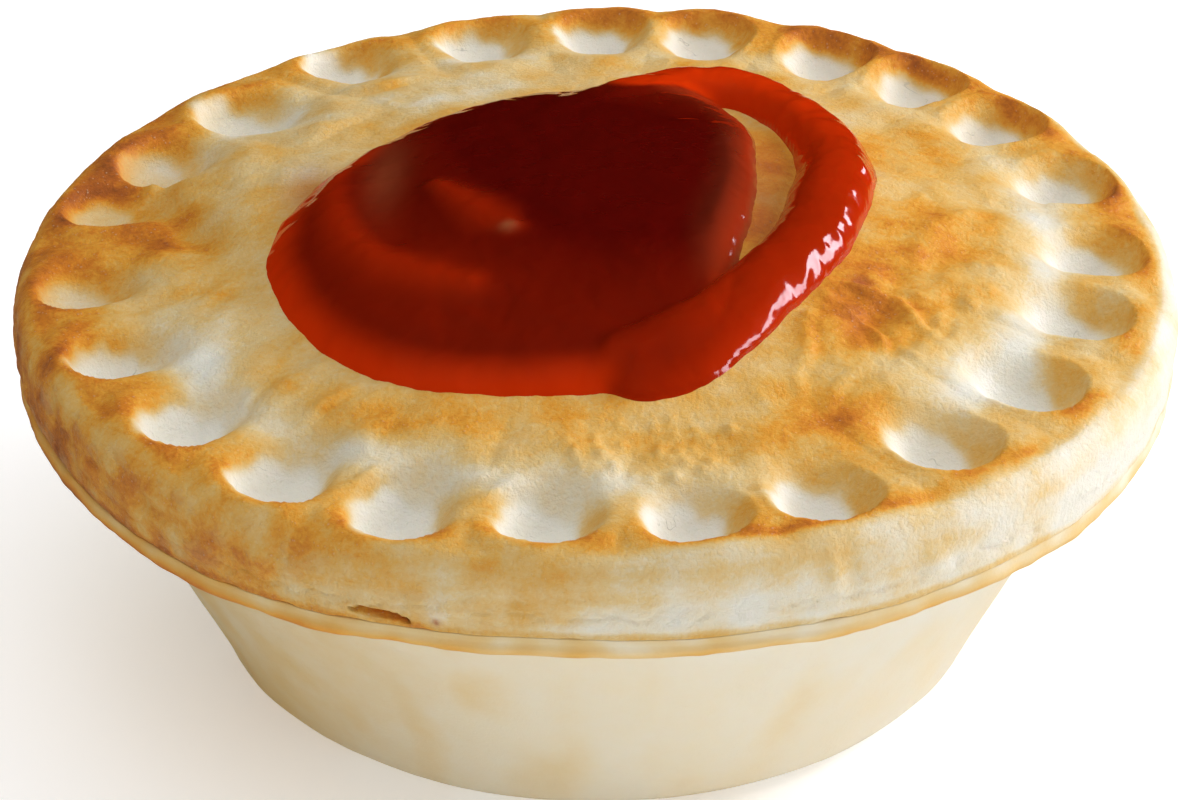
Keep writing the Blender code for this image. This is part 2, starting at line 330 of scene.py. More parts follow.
def crust_grain_group():
    """Node group for baked crust: mottle, speckle, pale flecks, flakes, hair cracks and a height."""
    group = bpy.data.node_groups.new("crust_grain", "ShaderNodeTree")
    for name in ("Coarse", "Fine", "Flake"):
        group.interface.new_socket(name, in_out="INPUT", socket_type="NodeSocketFloat")
    for name in ("Mottle", "Speckle", "Flecks", "Flakes", "Lines", "Height"):
        group.interface.new_socket(name, in_out="OUTPUT", socket_type="NodeSocketFloat")
    nodes = group.nodes
    links = group.links
    entry = nodes.new("NodeGroupInput")
    end = nodes.new("NodeGroupOutput")
    place = nodes.new("ShaderNodeTexCoord").outputs["Object"]
    coarse = add_noise(nodes, links, place, entry.outputs["Coarse"], 6.0, 0.60)
    fine = add_noise(nodes, links, place, entry.outputs["Fine"], 4.0, 0.70)
    mottle = add_maths(nodes, links, "SUBTRACT", coarse, 0.5)
    speckle = add_maths(nodes, links, "SUBTRACT", fine, 0.5)
    dots = nodes.new("ShaderNodeTexVoronoi")
    dot_scale = add_maths(nodes, links, "MULTIPLY", entry.outputs["Fine"], 1.1)
    links.new(place, dots.inputs["Vector"])
    links.new(dot_scale, dots.inputs["Scale"])
    dot_reach = add_maths(nodes, links, "MULTIPLY_ADD", fine, 0.8, -0.18)
    dot_reach = add_maths(nodes, links, "SUBTRACT", dot_reach, dots.outputs["Distance"])
    flecks = add_range(nodes, links, dot_reach, 0.02, 0.16)
    soft = add_noise(nodes, links, place, HAIR_CRACK_SCALE, 2.0, 0.45)
    level = add_maths(nodes, links, "SUBTRACT", soft, 0.5)
    level = add_maths(nodes, links, "ABSOLUTE", level)
    lines = add_range(nodes, links, level, 0.008, 0.002)
    broken = add_range(nodes, links, coarse, 0.54, 0.62)
    hair = add_maths(nodes, links, "MULTIPLY", lines, broken)
    flat = nodes.new("ShaderNodeMapping")
    flat.inputs["Scale"].default_value = (1.0, 1.0, 1.2)
    links.new(place, flat.inputs["Vector"])
    layers = add_noise(nodes, links, flat.outputs["Vector"], entry.outputs["Flake"], 6.0, 0.62)
    flakes = add_range(nodes, links, layers, 0.53, 0.61)
    grain = add_maths(nodes, links, "MULTIPLY_ADD", flecks, 0.12, fine)
    links.new(mottle, end.inputs["Mottle"])
    links.new(speckle, end.inputs["Speckle"])
    links.new(flecks, end.inputs["Flecks"])
    links.new(flakes, end.inputs["Flakes"])
    links.new(hair, end.inputs["Lines"])
    links.new(grain, end.inputs["Height"])
    return group


crust_grain = crust_grain_group()


def mix_colours(nodes, links, share, first, second):
    """Adds a colour mix and gives back its output; a colour is a tuple or a socket."""
    mix = nodes.new("ShaderNodeMix")
    mix.data_type = "RGBA"
    links.new(share, mix.inputs[0])
    for socket, colour in ((mix.inputs[6], first), (mix.inputs[7], second)):
        if isinstance(colour, tuple):
            socket.default_value = (*colour, 1.0)
        else:
            links.new(colour, socket)
    return mix.outputs[2]


def add_attribute(nodes, name):
    node = nodes.new("ShaderNodeAttribute")
    node.attribute_name = name
    return node.outputs["Fac"]


def finish_surface(nodes, links, shader, rough, soak, soak_colours, height, strength, distance):
    """Sets the gloss, how much light soaks in and comes out again, and how bumpy the surface is."""
    shader.inputs["Roughness"].default_value = rough
    shader.inputs["Specular IOR Level"].default_value = 0.45
    shader.inputs["Subsurface Weight"].default_value = soak
    shader.inputs["Subsurface Radius"].default_value = soak_colours
    shader.inputs["Subsurface Scale"].default_value = 0.0015
    bump = nodes.new("ShaderNodeBump")
    bump.inputs["Strength"].default_value = strength
    bump.inputs["Distance"].default_value = distance
    links.new(height, bump.inputs["Height"])
    links.new(bump.outputs["Normal"], shader.inputs["Normal"])


def crust_material(name, mottle_share, speckle_share, bump_distance, lid):
    """Baked pastry: how brown the crust is, with painted light and shade added in places, picks the colour,
    noise mottles it, and on the lid flour pales it.
    """
    material, nodes, links, shader = new_material(name)
    grain = nodes.new("ShaderNodeGroup")
    grain.node_tree = crust_grain
    grain.inputs["Coarse"].default_value = MOTTLE_SCALE
    grain.inputs["Fine"].default_value = SPECKLE_SCALE
    grain.inputs["Flake"].default_value = FLAKE_SCALE
    # This attribute holds how brown the crust is, together with painted light and shade
    baked = add_attribute(nodes, "browning_and_shading")
    uneven = add_maths(nodes, links, "MULTIPLY", grain.outputs["Mottle"], mottle_share)
    uneven = add_maths(nodes, links, "MULTIPLY_ADD", grain.outputs["Speckle"], speckle_share, uneven)
    strength = add_maths(nodes, links, "MULTIPLY_ADD", baked, 1.5, 0.25)
    strength = add_maths(nodes, links, "MINIMUM", strength, 1.0)
    brown = add_maths(nodes, links, "MULTIPLY_ADD", uneven, strength, baked)
    ramp = nodes.new("ShaderNodeValToRGB")
    ramp.color_ramp.elements[0].color = (*BROWNING_AND_SHADING_COLOURS[0][1], 1.0)
    ramp.color_ramp.elements[1].color = (*BROWNING_AND_SHADING_COLOURS[-1][1], 1.0)
    for position, colour in BROWNING_AND_SHADING_COLOURS[1:-1]:
        ramp.color_ramp.elements.new(position).color = (*colour, 1.0)
    links.new(brown, ramp.inputs["Fac"])
    colour = ramp.outputs["Color"]
    height = grain.outputs["Height"]
    if lid:
        flaky = add_maths(nodes, links, "MULTIPLY", grain.outputs["Flakes"], add_attribute(nodes, "flaky"))
        colour = mix_colours(nodes, links, flaky, colour, FLAKE_COLOUR)
        spots = add_maths(nodes, links, "MULTIPLY", grain.outputs["Flecks"], 0.40)
        spots = add_maths(nodes, links, "MULTIPLY", spots, add_attribute(nodes, "browning_and_shading"))
        colour = mix_colours(nodes, links, spots, colour, FLECK_COLOUR)
        flour = add_attribute(nodes, "flour")
        dusty = add_maths(nodes, links, "MULTIPLY_ADD", grain.outputs["Speckle"], 0.5, flour)
        dusty = add_maths(nodes, links, "MULTIPLY", dusty, flour)
        colour = mix_colours(nodes, links, dusty, colour, FLOUR_COLOUR)
        hair = add_maths(nodes, links, "MULTIPLY", grain.outputs["Lines"], flour)
        colour = mix_colours(nodes, links, hair, colour, HAIR_CRACK_COLOUR)
        colour = mix_colours(nodes, links, add_attribute(nodes, "stain_and_shade"), colour, STAIN_AND_SHADE_COLOUR)
        height = add_maths(nodes, links, "MULTIPLY_ADD", flaky, 0.9, height)
    links.new(colour, shader.inputs["Base Color"])
    finish_surface(nodes, links, shader, 0.48, 0.10, (1.0, 0.55, 0.25), height, 0.7, bump_distance)
    return material


def wall_radius(height):
    """Radius of the straight tapered wall at this height."""
    return WALL_TOP_RADIUS - (LIP_UNDERSIDE - height) * math.tan(WALL_SLOPE)


def case_profile():
    """Half outline of the case from the middle of its top round to the middle of its foot."""
    top = CREST_HEIGHT - BAND_HEIGHT - SEAM_GAP
    under = LIP_UNDERSIDE
    middle = 0.5 * (top + under)
    half = 0.5 * (top - under)
    points = [(radius * MM, top) for radius in (0.0, 30.0, 50.0, 56.0)] + [(LIP_RADIUS, top)]
    for step in range(1, 13):
        turn = math.radians(90.0 - 15.0 * step)
        points.append((LIP_RADIUS + 1.1 * MM * math.cos(turn), middle + half * math.sin(turn)))
    for radius, drop in ((57.6, 0.02), (56.6, 0.1), (55.7, 0.4), (55.2, 0.9)):
        points.append((radius * MM, under - drop * MM))
    tangent = FOOT_ROUNDING * (1.0 - math.sin(WALL_SLOPE))
    highest = under - 1.6 * MM
    rows = 44
    for row in range(rows + 1):
        height = highest + (tangent - highest) * row / rows
        hollow = 0.5 * MM * math.sin(math.pi * height / under)
        points.append((wall_radius(height) - hollow, height))
    foot_radius = wall_radius(tangent) - FOOT_ROUNDING * math.cos(WALL_SLOPE)
    for angle in (35.0, 45.0, 55.0, 65.0, 78.0, 90.0):
        turn = math.radians(angle)
        radius = foot_radius + FOOT_ROUNDING * math.cos(turn)
        points.append((radius, FOOT_ROUNDING * (1.0 - math.sin(turn))))
    points.append((20.0 * MM, 0.0))
    points.append((0.0, 0.0))
    return points


def build_case():
    shape = turned(case_profile(), TURN_STEPS)
    browning_and_shading = shape.verts.layers.float.new("browning_and_shading")
    top = CREST_HEIGHT - BAND_HEIGHT
    under = top - LIP_THICKNESS
    for vertex in shape.verts:
        point = vertex.co
        azimuth = math.atan2(point.y, point.x)
        spot = point.copy()
        lip = smooth_step(under - 1.5 * MM, under - 0.2 * MM, spot.z)
        radius = math.hypot(spot.x, spot.y)
        low = smooth_step(top - 0.5 * MM, under + 0.2 * MM, spot.z)
        low *= smooth_step(56.5 * MM, 58.5 * MM, radius)
        if radius > 30.0 * MM and spot.z > 0.5 * MM:
            swell = 0.16 * ripple(spot, 9.0 * MM, 3.0) + 0.05 * ripple(spot, 2.6 * MM, 4.0)
            fold = low * (0.26 * ripple(spot, 8.0 * MM, 17.0) + 0.10 * ripple(spot, 1.8 * MM, 18.0))
            push_out(point, (swell * (1.0 - lip) + lip * seam_skin(azimuth) + fold) * MM)
            sag = 0.28 * ripple(spot, 10.0 * MM, 19.0) + 0.08 * ripple(spot, 2.4 * MM, 20.0)
            point.z += low * sag * MM
            if radius > LIP_RADIUS and spot.z > under + 0.9 * MM:
                push_out(point, (SEAM_RADIUS * MM - radius) * seam_shut(azimuth))
        point.z += lip_wave(point.x, point.y)
        widen(point)
        wall = 0.05 + 0.12 * max(0.0, ripple(stretched(spot, 1.0, 0.15), 6.0 * MM, 12.0))
        # The wall is also painted darker round the front left, where it lies in shade: painted shade, not
        # baking
        wall += 0.06 * ripple(spot, 14.0 * MM, 6.0) + 0.15 * bell(math.degrees(azimuth) % 360, 210.0, 45.0)
        edge = around(LIP_BROWNING, azimuth) * (0.75 + 0.6 * low) + 0.14 * ripple(spot, 3.0 * MM, 13.0)
        vertex[browning_and_shading] = wall * (1.0 - lip) + lip * edge
    material = crust_material("case_crust", 0.22, 0.06, CASE_GRAIN_HEIGHT, False)
    finish_piece("baked_case", shape, material, "pastry_case")


build_case()

# Pastry lid
# A thicker round of pastry laid over the filling, glazed and baked golden so that its middle domes.
# Its edge is a thick band whose top is pressed down all round with a fingertip; the pressed
# places stay pale and floury, and the ridges and the crest between them brown the most.
RIM_RADIUS = 60.0 * MM
CREST_RADIUS = 58.5 * MM
SHELF_RADIUS = 54.0 * MM
DOME_RADIUS = 48.0 * MM
DOME_RISE = 7.0 * MM
SHELF_RISE = 0.2 * MM
LID_GRAIN_HEIGHT = 0.36 * MM

# Finger presses: azimuth in degrees, distance from the middle in mm, depth in mm, length factor
PRESSES = (
    (187.0, 53.8, 2.0, 0.90),
    (204.0, 53.2, 2.9, 0.95),
    (220.0, 52.6, 2.8, 1.00),
    (235.0, 53.2, 2.9, 1.05),
    (249.5, 53.6, 2.8, 1.05),
    (265.0, 52.6, 2.8, 1.00),
    (280.0, 53.7, 2.7, 0.85),
    (294.0, 53.8, 2.8, 0.95),
    (311.0, 52.2, 2.9, 1.05),
    (328.0, 51.8, 3.1, 1.10),
    (346.0, 52.0, 3.1, 1.10),
    (1.0, 53.0, 2.8, 1.00),
    (18.0, 53.6, 2.6, 0.95),
    (34.5, 54.0, 2.6, 0.95),
    (48.0, 54.2, 2.4, 0.90),
    (61.0, 54.0, 2.4, 0.90),
    (76.5, 53.4, 2.4, 0.90),
    (89.5, 53.4, 2.4, 0.90),
    (104.0, 53.8, 2.4, 0.95),
    (121.0, 55.0, 3.1, 1.00),
    (140.0, 51.8, 2.4, 1.25),
    (155.0, 52.4, 2.1, 1.00),
    (167.0, 53.8, 1.7, 0.80),
)
PRESS_SIDE = 5.5 * MM
PRESS_INWARD = 8.6 * MM
PRESS_OUTWARD = 3.9 * MM
PRESS_LEAN = 1.1 * MM
PRESS_FLOOR = 0.30
RIDGE_RISE = 0.7 * MM
RIM_WAVES = ((2, 0.28, 72.0), (3, 0.36, 62.0), (4, 0.18, 32.0), (5, 0.25, 358.0), (6, 0.18, 28.0))

# Creases: middle x and y in mm, direction in degrees, half length, half width and depth in mm
CREASES = (
    (-44.0, 7.5, 118.0, 11.0, 2.4, 1.7),
    (-31.0, -27.0, 38.0, 4.5, 1.2, 0.5),
    (-22.0, -35.5, 20.0, 4.0, 1.2, 0.5),
    (27.5, -19.0, 62.0, 5.5, 1.3, 0.7),
    (31.5, -22.0, 50.0, 4.5, 1.2, 0.6),
    (30.0, -10.0, 75.0, 5.0, 1.4, 0.5),
)
SWELLS = (
    (-34.0, 13.0, 9.0, 1.1),
    (-20.0, 33.0, 12.0, 0.6),
    (24.0, -24.0, 8.0, 0.6),
    (32.0, 6.0, 12.0, 0.5),
    (-16.0, -37.0, 9.0, 0.4),
)

# Wrinkles with a raised edge and a crease beside it, given as the creases are
WRINKLES = (
    (-21.4, -44.2, 33.0, 3.4, 0.7, 0.55),
    (-9.0, -47.3, 30.0, 2.6, 0.7, 0.50),
    (-26.0, -33.2, 46.0, 3.6, 0.8, 0.30),
    (-34.2, -30.8, 52.0, 2.8, 0.7, 0.45),
    (-12.0, -45.6, 25.0, 2.4, 0.6, 0.35),
    (20.3, -26.0, 82.0, 7.0, 0.7, 0.36),
    (27.0, -15.2, 158.0, 4.2, 0.9, 0.60),
    (31.2, -18.0, 120.0, 3.8, 0.8, 0.60),
    (27.6, -22.6, 100.0, 2.4, 0.6, 0.60),
    (33.8, -19.0, 70.0, 3.0, 0.6, 0.60),
    (36.0, -24.5, 60.0, 2.5, 0.6, 0.35),
    (24.0, -30.5, 60.0, 3.4, 0.7, 0.35),
    (34.5, -2.0, 60.0, 9.5, 2.2, 0.50),
    (-38.5, -11.5, 60.0, 3.0, 1.1, 0.22),
    (-24.0, 36.0, 15.0, 4.5, 0.9, 0.45),
    (-47.0, 17.0, 60.0, 4.0, 0.8, 0.50),
)

# Patches baked more or less than the crust about them: middle x and y in mm, size in mm, browning
PATCHES = (
    (-46.5, 6.0, 4.5, 0.36),
    (-44.5, 0.0, 4.0, 0.22),
    (-51.5, 9.0, 3.5, -0.12),
    (-53.8, -1.0, 3.5, -0.10),
    (-42.0, -10.0, 4.0, 0.04),
    (-38.5, -11.0, 2.4, 0.12),
    (-36.0, -19.5, 6.0, -0.08),
    (-33.0, -5.5, 4.0, -0.10),
    (-31.0, 12.0, 5.0, -0.14),
    (-36.0, 19.0, 4.0, 0.08),
    (-37.5, 28.0, 5.0, -0.28),
    (-20.0, 30.0, 6.0, -0.16),
    (-12.0, 34.0, 7.0, -0.22),
    (-4.0, 39.0, 5.0, -0.06),
    (5.0, 41.0, 4.0, -0.14),
    (-19.3, -37.8, 3.4, 0.10),
    (-12.5, -39.0, 4.0, 0.12),
    (-27.0, -36.0, 4.0, 0.05),
    (1.0, -39.0, 6.0, 0.08),
    (9.0, -43.0, 4.0, 0.02),
    (13.6, -40.0, 5.0, 0.06),
    (23.0, -35.5, 6.0, 0.20),
    (26.0, -20.0, 4.6, 0.30),
    (28.2, -23.7, 1.4, 0.10),
    (27.6, -10.5, 3.4, 0.22),
    (33.0, -4.0, 4.5, 0.06),
    (37.4, 0.5, 6.5, 0.06),
    (33.0, 18.0, 6.0, 0.12),
    (39.0, 25.0, 4.0, 0.10),
    (26.0, 29.0, 5.0, -0.12),
    (42.5, -4.0, 5.0, -0.12),
    (45.0, 7.0, 4.0, -0.06),
    (36.5, -27.0, 5.5, -0.12),
    (41.0, -17.0, 4.5, -0.06),
    (17.5, 10.0, 7.0, 0.28),
    (16.5, -6.0, 7.0, 0.28),
    (-38.0, -22.0, 8.0, -0.08),
    (-30.0, 30.0, 10.0, -0.06),
)

# Every 30 degrees round from the right: browning of the ridges and of the side band, the band's with
# painted shade on its left and painted light on its right, flakes on the band, flour left in the presses,
# and paleness of the ring just inside them
RIDGE_BROWNING = (0.40, 0.46, 0.50, 0.48, 0.40, 0.60, 0.64, 0.55, 0.41, 0.38, 0.37, 0.32)
BAND_BROWNING_AND_SHADING = (-0.04, 0.12, 0.42, 0.45, 0.42, 0.58, 0.76, 0.72, 0.42, 0.14, 0.09, -0.03)
BAND_FLAKES = (0.0, 0.1, 0.2, 0.3, 0.3, 0.5, 0.85, 0.9, 0.5, 0.12, 0.0, 0.0)
PRESS_FLOUR = (0.95, 0.85, 0.85, 0.95, 1.0, 0.55, 0.35, 1.0, 1.0, 1.0, 1.0, 1.0)
PALE_RING = (0.24, 0.16, 0.12, 0.12, 0.16, 0.06, 0.0, 0.16, 0.30, 0.16, 0.08, 0.28)

# Darker baked spots on the crest and the ridges: azimuth in degrees, distance from the middle in mm,
# half length round the rim in degrees, half width in mm, browning
CREST_SPOTS = (
    (215.0, 57.6, 10.0, 1.2, 0.10),
    (243.0, 57.8, 5.0, 1.0, 0.10),
    (271.5, 56.6, 3.0, 1.6, 0.14),
    (287.0, 57.6, 7.0, 0.7, 0.20),
    (297.0, 57.5, 5.0, 0.7, 0.16),
    (306.0, 56.8, 5.0, 1.1, 0.22),
    (316.0, 57.1, 4.0, 0.7, 0.14),
    (326.5, 56.5, 4.5, 1.3, 0.22),
    (339.5, 55.2, 3.2, 2.4, 0.06),
    (353.0, 56.0, 3.0, 2.2, 0.04),
    (12.0, 56.0, 4.5, 2.0, 0.22),
    (27.0, 56.2, 4.0, 2.2, 0.18),
    (55.0, 56.4, 8.0, 2.4, 0.16),
    (67.0, 56.8, 3.0, 2.0, 0.14),
    (112.0, 56.0, 6.0, 2.2, 0.10),
    (162.0, 53.5, 8.0, 3.0, 0.26),
)

# Upright folds in the band: azimuth in degrees, drop below the crest, half width and half height in mm,
# and how far each stands out, below 0 for a dent
BAND_FOLDS = (
    (291.5, 3.6, 0.7, 2.6, 0.35),
    (293.5, 4.2, 0.8, 2.2, -0.30),
    (302.0, 5.0, 1.4, 1.6, 0.25),
    (262.0, 3.4, 1.2, 2.0, -0.30),
    (257.0, 4.6, 1.0, 1.8, 0.30),
    (238.0, 4.0, 2.0, 1.2, 0.45),
    (231.0, 5.6, 2.4, 0.9, 0.50),
    (224.0, 3.6, 1.6, 1.0, -0.45),
    (215.0, 4.6, 2.6, 1.2, 0.50),
    (207.0, 3.0, 1.8, 1.6, -0.40),
    (199.0, 5.0, 2.2, 1.0, 0.55),
    (322.0, 5.2, 2.0, 0.9, 0.30),
)

# The tear low in the front left of the band, and how far below the crest the seam starts: angles in
# degrees and drops and half sizes in mm
TEAR_AZIMUTH = 250.3
TEAR_DROP = 6.9
TEAR_HALF_WIDTH = 3.0
TEAR_HALF_HEIGHT = 0.46
TEAR_DEPTH = 1.5 * MM
SEAM_DROP = 7.3

# Blisters are looked up by squares of this many millimetres, each with its neighbours' blisters
BLISTER_CELL = 4.0
random.seed(7)


def scatter_blisters():
    """Small bubbles of the crust: middle x and y, size across and along in mm, and height in mm."""
    found = []
    for _ in range(60):
        middle_x = random.uniform(-4, 13)
        middle_y = random.uniform(-46, -37)
        found.append((middle_x, middle_y, 0.5, 0.6, random.uniform(0.1, 0.28)))
    for _ in range(150):
        angle = random.uniform(0.0, 2 * math.pi)
        distance = random.uniform(27.0, 49.0)
        size = random.uniform(0.5, 1.3)
        high = random.uniform(-0.12, 0.22)
        found.append((distance * math.cos(angle), distance * math.sin(angle), size, size, high))
    for _ in range(60):
        angle = math.radians(random.uniform(-50.0, 20.0))
        distance = random.uniform(28.0, 42.0)
        size = random.uniform(0.4, 0.9)
        found.append((distance * math.cos(angle), distance * math.sin(angle), size, 1.4 * size, 0.22))
    cells = {}
    for blister in found:
        cell_x = math.floor(blister[0] / BLISTER_CELL)
        cell_y = math.floor(blister[1] / BLISTER_CELL)
        for step_x in (-1, 0, 1):
            for step_y in (-1, 0, 1):
                cells.setdefault((cell_x + step_x, cell_y + step_y), []).append(blister)
    return cells


blisters = scatter_blisters()


def turn_from(azimuth, degrees):
    """Turn in radians from this direction to the azimuth, the short way round."""
    return (azimuth - math.radians(degrees) + math.pi) % (2 * math.pi) - math.pi


def press_reach(x, y):
    """The deepest press here: its depth, the nearest one's reach, 1 at its edge, and its flour's reach."""
    depth = 0.0
    nearest = 9.0
    flour = 9.0
    radius = math.hypot(x, y)
    azimuth = math.atan2(y, x)
    if radius < 36.0 * MM:
        return depth, nearest, flour
    lean = math.cos(azimuth)
    for angle, distance, press, length in PRESSES:
        turn = turn_from(azimuth, angle)
        if abs(turn) > 0.3:
            continue
        along = radius - distance * MM
        across = turn * radius + PRESS_LEAN * lean
        pale_along = along + 0.9 * MM + 1.1 * MM * lean
        pale_along /= (4.6 * MM if pale_along > 0 else 5.2 * MM) * length
        pale_across = (across - 1.0 * MM * math.sin(azimuth)) / (4.5 * MM)
        flour = min(flour, math.hypot(pale_along, pale_across))
        along /= PRESS_OUTWARD if along > 0 else PRESS_INWARD * length
        across /= PRESS_SIDE + PRESS_LEAN * math.copysign(lean, across * lean)
        reach = math.hypot(along, across)
        nearest = min(nearest, reach)
        if reach < 1.0:
            steep = smooth_step(-0.2, 0.7, (along - 0.8 * across * lean) / max(reach, 0.01))
            gentle_bowl = 1.0 - smooth_step(PRESS_FLOOR, 1.0, reach)
            steep_bowl = 1.0 - reach**3
            depth = max(depth, press * MM * (gentle_bowl + steep * (steep_bowl - gentle_bowl)))
    return depth, nearest, flour


def along_and_across(x, y, middle_x, middle_y, angle):
    """How far in mm a place lies along and across a line through this middle."""
    away_x = x / MM - middle_x
    away_y = y / MM - middle_y
    cosine = math.cos(math.radians(angle))
    sine = math.sin(math.radians(angle))
    return away_x * cosine + away_y * sine, -away_x * sine + away_y * cosine


def crease_depth(x, y):
    depth = 0.0
    for middle_x, middle_y, angle, length, width, deep in CREASES:
        if abs(x / MM - middle_x) > 25.0 or abs(y / MM - middle_y) > 25.0:
            continue
        along, across = along_and_across(x, y, middle_x, middle_y, angle)
        depth += deep * MM * math.exp(-((along / length) ** 2) - (across / width) ** 2)
    return depth


def wrinkle_rise(x, y):
    """Height of the wrinkles, and how far this place lies in the shade of one."""
    rise = 0.0
    shade = 0.0
    for middle_x, middle_y, angle, length, width, high in WRINKLES:
        if abs(x / MM - middle_x) > 7.0 or abs(y / MM - middle_y) > 7.0:
            continue
        along, across = along_and_across(x, y, middle_x, middle_y, angle)
        across += 0.3 * math.sin(0.8 * along + middle_x)
        reach = math.exp(-((along / length) ** 2))
        ridge = reach * math.exp(-((across / width) ** 2))
        crease = reach * math.exp(-(((across + 1.4 * width) / (0.9 * width)) ** 2))
        rise += high * MM * (ridge - 0.6 * crease)
        shade += crease
    return rise, shade


def swell_rise(x, y):
    rise = 0.0
    for middle_x, middle_y, size, high in SWELLS:
        away = math.hypot(x / MM - middle_x, y / MM - middle_y) / size
        rise += high * MM * math.exp(-away * away)
    return rise


def hump(x, y, middle_x, middle_y, wide, long):
    """A soft bump: 1 in its middle, and 0 from where it would be nearly flat."""
    away_x = (x / MM - middle_x) / wide
    away_y = (y / MM - middle_y) / long
    square = away_x * away_x + away_y * away_y
    return math.exp(-square) if square < 6.0 else 0.0


def blister_rise(x, y):
    rise = 0.0
    cell = (math.floor(x / MM / BLISTER_CELL), math.floor(y / MM / BLISTER_CELL))
    for middle_x, middle_y, wide, long, high in blisters.get(cell, ()):
        rise += high * MM * hump(x, y, middle_x, middle_y, wide, long)
    return rise


def dome_height(radius):
    """Height of the plain turned lid at this radius."""
    if radius > SHELF_RADIUS:
        share = (radius - SHELF_RADIUS) / (CREST_RADIUS - SHELF_RADIUS)
        return CREST_HEIGHT + SHELF_RISE * (1.0 - share**2)
    if radius > DOME_RADIUS:
        return CREST_HEIGHT + SHELF_RISE
    share = radius / DOME_RADIUS
    return CREST_HEIGHT + SHELF_RISE + DOME_RISE * (1.0 - share**2) ** 1.15


def relief(x, y, depth, nearest):
    """What presses, creases, swells and rim waves add to the plain lid."""
    radius = math.hypot(x, y)
    rim = smooth_step(WAVE_START, WAVE_FULL, radius)
    outer = smooth_step(RIM_RADIUS + MM, CREST_RADIUS - MM, radius)
    ridge = RIDGE_RISE * math.exp(-(((nearest - 1.25) / 0.4) ** 2))
    rise = rim * waves(RIM_WAVES, math.atan2(y, x)) + swell_rise(x, y)
    return rise - outer * (depth - ridge + crease_depth(x, y))


def ledges(point, size, seed, count):
    """Noise that rises in sharp steps from 0 to 1, as flaky layers do."""
    level = (0.5 + 0.5 * ripple(point, size, seed)) * count
    step = math.floor(level)
    return (step + smooth_step(0.0, 0.22, level - step)) / count


def skin_rise(x, y, nearest):
    """The crust's own unevenness on top of the lid: lumps, blisters and thin flaky layers."""
    spot = (x, y, 0.0)
    open_crust = min(1.0, nearest)
    lumps = 0.26 * ripple(spot, 7.0 * MM, 31.0) + 0.10 * ripple(spot, 2.6 * MM, 32.0)
    lumps += 0.04 * ripple(spot, 1.1 * MM, 35.0)
    layers = 0.20 * ledges(spot, 4.2 * MM, 36.0, 4) + 0.10 * ledges(spot, 1.9 * MM, 37.0, 3)
    split = bell(math.hypot(x - 28.5 * MM, y + 17.0 * MM), 0.0, 8.0 * MM)
    layers += 0.75 * split * (ledges(spot, 3.2 * MM, 42.0, 3) - 0.5)
    lumps = (lumps + layers * open_crust - 0.15) * (0.35 + 0.65 * open_crust)
    sharp_edge = 0.32 * bell(nearest, 1.04, 0.09) * smooth_step(-0.2, 0.5, math.cos(math.atan2(y, x)))
    sharp_edge *= smooth_step(47.0 * MM, 50.0 * MM, math.hypot(x, y))
    return (lumps + sharp_edge) * MM + blister_rise(x, y)


def lid_profile():
    points = []
    for radius in (0.0, 4.0, 9.0, 13.0, 17.0, 20.0, 22.5):
        points.append((radius * MM, dome_height(radius * MM)))
    inner = 25
    for ring in range(inner):
        radius = (24.0 + 16.0 * ring / inner) * MM
        points.append((radius, dome_height(radius)))
    outer = 42
    for ring in range(outer + 1):
        radius = 40.0 * MM + (CREST_RADIUS - 40.0 * MM) * ring / outer
        points.append((radius, dome_height(radius)))
    for radius, drop in ((58.95, 0.30), (59.4, 0.75), (59.7, 1.35), (59.9, 2.2)):
        points.append((radius * MM, CREST_HEIGHT - drop * MM))
    rows = 16
    for row in range(rows + 1):
        drop = 2.6 + (7.2 - 2.6) * row / rows
        radius = 60.0 - 0.012 * (drop - 4.0) ** 2
        points.append((radius * MM, CREST_HEIGHT - drop * MM))
    for radius, drop in ((59.8, 7.5), (59.65, 7.75), (59.4, 7.95), (59.0, 8.05), (58.4, 8.1)):
        points.append((radius * MM, CREST_HEIGHT - drop * MM))
    points.append((50.0 * MM, CREST_HEIGHT - BAND_HEIGHT))
    points.append((0.0, CREST_HEIGHT - BAND_HEIGHT))
    return points


def band_fold(azimuth, drop):
    """How far in mm the folds of the band stand out here."""
    total = 0.0
    for middle, low, wide, high, out in BAND_FOLDS:
        across = turn_from(azimuth, middle) * RIM_RADIUS / MM / wide
        if abs(across) < 2.5:
            total += out * bell(across, 0.2 * (drop - low), 1.0) * bell(drop, low, high)
    return total


def tear_share(azimuth, drop):
    """How far this place of the band is inside the tear, from -1 well outside to 1 in its middle."""
    along = turn_from(azimuth, TEAR_AZIMUTH) * (RIM_RADIUS / MM / TEAR_HALF_WIDTH)
    if abs(along) >= 1.0:
        return -1.0
    half = TEAR_HALF_HEIGHT * math.sqrt(1.0 - along * along) + 0.01
    middle = TEAR_DROP + 0.25 * along + 0.35 * along * along
    return max(-1.0, 1.0 - abs(drop - middle) / half)


def band_layers(spot):
    """The flaky layers of the side band, from 0 to 1; where they stand out they are paler."""
    return ledges(stretched(spot, 0.55, 1.6), 2.6 * MM, 38.0, 3)


